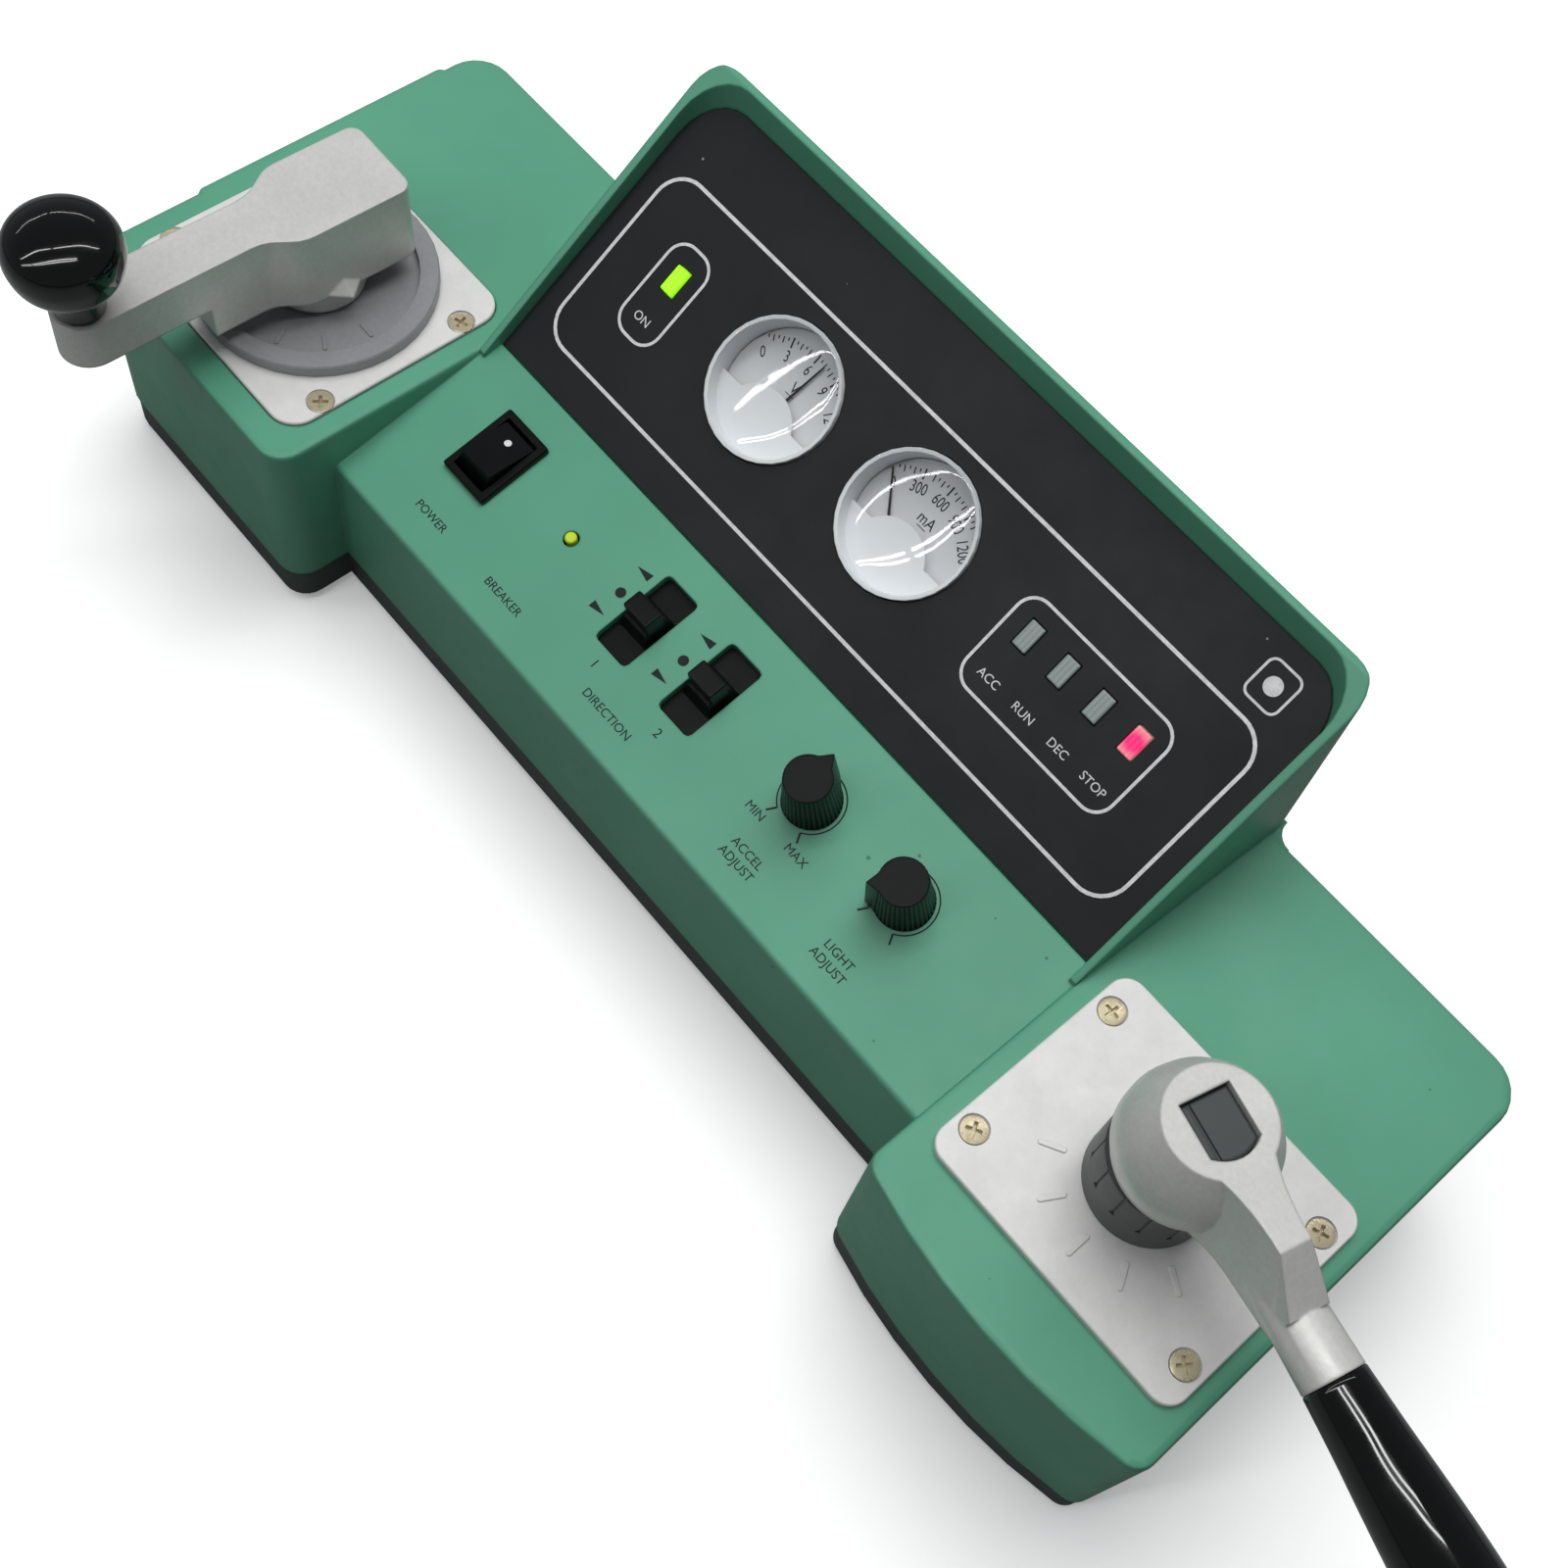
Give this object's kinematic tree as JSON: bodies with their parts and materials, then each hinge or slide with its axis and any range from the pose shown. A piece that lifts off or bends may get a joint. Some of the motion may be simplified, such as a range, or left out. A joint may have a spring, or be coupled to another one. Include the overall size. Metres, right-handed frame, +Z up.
{
  "type": "model train controller",
  "caption": "Desk console for driving a model train: a throttle lever, a plug-on brake lever, a sloping switch panel and a hooded panel with meters and lamps.",
  "frame": {"origin": "on the flat underside of the base tray, midway across the case and 23 mm behind the handle axes", "axes": "+X to the operator's right, +Y to the back, +Z up; the case stands on rubber feet 1.5 mm below the origin"},
  "size_m": [0.4446, 0.1658, 0.1209],
  "materials": {
    "case_green": "satin moulded sea green, fine texture",
    "tray_grey": "dark grey moulded",
    "foot_rubber": "black rubber",
    "plate_metal": "satin sheet",
    "dial_metal": "satin grey die casting",
    "handle_metal": "satin silver die casting",
    "screw_metal": "nickel, slightly yellow",
    "shaft_steel": "bright steel",
    "knob_black": "polished black",
    "collar_grey": "dark grey",
    "panel_black": "matte black with white lines",
    "meter_white": "light grey",
    "dial_white": "printed scale",
    "lens_clear": "clear dome",
    "needle_black": "black",
    "lamp_green": "lit",
    "lamp_grey": "unlit",
    "lamp_red": "lit",
    "switch_black": "black",
    "button_yellow": "yellow green",
    "can_metal": "plated",
    "board_green": "coated board",
    "socket_ivory": "ivory"
  },
  "bodies": {
    "case": {"upper_case": "case_green", "base_tray": "tray_grey", "rubber_foot_1": "foot_rubber", "rubber_foot_2": "foot_rubber", "rubber_foot_3": "foot_rubber", "rubber_foot_4": "foot_rubber", "base_screw_1": "shaft_steel", "base_screw_2": "shaft_steel", "base_screw_3": "shaft_steel", "base_screw_4": "shaft_steel", "left_plate": "plate_metal", "left_plate_screw_1": "screw_metal", "left_plate_screw_2": "screw_metal", "left_plate_screw_3": "screw_metal", "left_plate_screw_4": "screw_metal", "right_plate": "plate_metal", "right_plate_screw_1": "screw_metal", "right_plate_screw_2": "screw_metal", "right_plate_screw_3": "screw_metal", "right_plate_screw_4": "screw_metal", "master_dial": "dial_metal", "master_switch": "switch_black", "brake_collar": "collar_grey", "brake_switch": "switch_black", "instrument_panel": "panel_black", "voltmeter_case": "meter_white", "voltmeter_dial": "dial_white", "voltmeter_lens": "lens_clear", "ammeter_case": "meter_white", "ammeter_dial": "dial_white", "ammeter_lens": "lens_clear", "power_lamp": "lamp_green", "status_lamp_1": "lamp_grey", "status_lamp_2": "lamp_grey", "status_lamp_3": "lamp_grey", "status_lamp_4": "lamp_red", "power_switch_body": "switch_black", "breaker_body": "switch_black", "direction_switch_1_body": "switch_black", "direction_switch_2_body": "switch_black", "potentiometer_1": "can_metal", "potentiometer_2": "can_metal", "circuit_board": "board_green", "power_jack": "switch_black", "output_sockets": "socket_ivory"},
    "master_lever": {"master_shaft": "shaft_steel", "master_handle": "handle_metal", "master_knob": "knob_black"},
    "brake_rotor": {"brake_spindle": "collar_grey"},
    "brake_lever": {"brake_handle": "handle_metal", "brake_grip": "knob_black"},
    "rocker": {"power_rocker": "switch_black"},
    "breaker": {"breaker_button": "button_yellow"},
    "slider_1": {"direction_slider_1": "switch_black"},
    "slider_2": {"direction_slider_2": "switch_black"},
    "adjuster_1": {"control_knob_1": "switch_black"},
    "adjuster_2": {"control_knob_2": "switch_black"},
    "volt_pointer": {"voltmeter_needle": "needle_black"},
    "amp_pointer": {"ammeter_needle": "needle_black"}
  },
  "joints": [
    {"name": "master_turn", "type": "hinge", "parent": "case", "child": "master_lever", "pos_m": [-0.1455, -0.023, 0.064], "axis": [0, 0, 1], "range_deg": [-150, 0]},
    {"name": "brake_turn", "type": "hinge", "parent": "case", "child": "brake_rotor", "pos_m": [0.1462, -0.023, 0.064], "axis": [0, 0, 1], "range_deg": [-136, 14]},
    {"name": "brake_handle_lift", "type": "slide", "parent": "brake_rotor", "child": "brake_lever", "axis": [0, 0, 1], "range_m": [0, 0.03]},
    {"name": "power_rock", "type": "hinge", "parent": "case", "child": "rocker", "pos_m": [-0.0802, -0.01737, 0.05618], "axis": [1, 0, 0], "range_deg": [0, 30]},
    {"name": "breaker_press", "type": "slide", "parent": "case", "child": "breaker", "axis": [0, -0.2402, 0.9707], "range_m": [-0.0005, 0.002]},
    {"name": "direction_1_slide", "type": "slide", "parent": "case", "child": "slider_1", "axis": [0, 0.9707, 0.2402], "range_m": [-0.0055, 0.0055]},
    {"name": "direction_2_slide", "type": "slide", "parent": "case", "child": "slider_2", "axis": [0, 0.9707, 0.2402], "range_m": [-0.0055, 0.0055]},
    {"name": "adjuster_1_turn", "type": "hinge", "parent": "case", "child": "adjuster_1", "pos_m": [0.0359, -0.01761, 0.05715], "axis": [0, -0.2402, 0.9707], "range_deg": [-150, 150]},
    {"name": "adjuster_2_turn", "type": "hinge", "parent": "case", "child": "adjuster_2", "pos_m": [0.067, -0.01761, 0.05715], "axis": [0, -0.2402, 0.9707], "range_deg": [-286, 14]},
    {"name": "volt_needle_turn", "type": "hinge", "parent": "case", "child": "volt_pointer", "pos_m": [-0.0412, 0.02501, 0.07965], "axis": [0, -0.6088, 0.7934], "range_deg": [-32, 48]},
    {"name": "amp_needle_turn", "type": "hinge", "parent": "case", "child": "amp_pointer", "pos_m": [0.0052, 0.02501, 0.07965], "axis": [0, -0.6088, 0.7934], "range_deg": [-80, 0]}
  ]
}
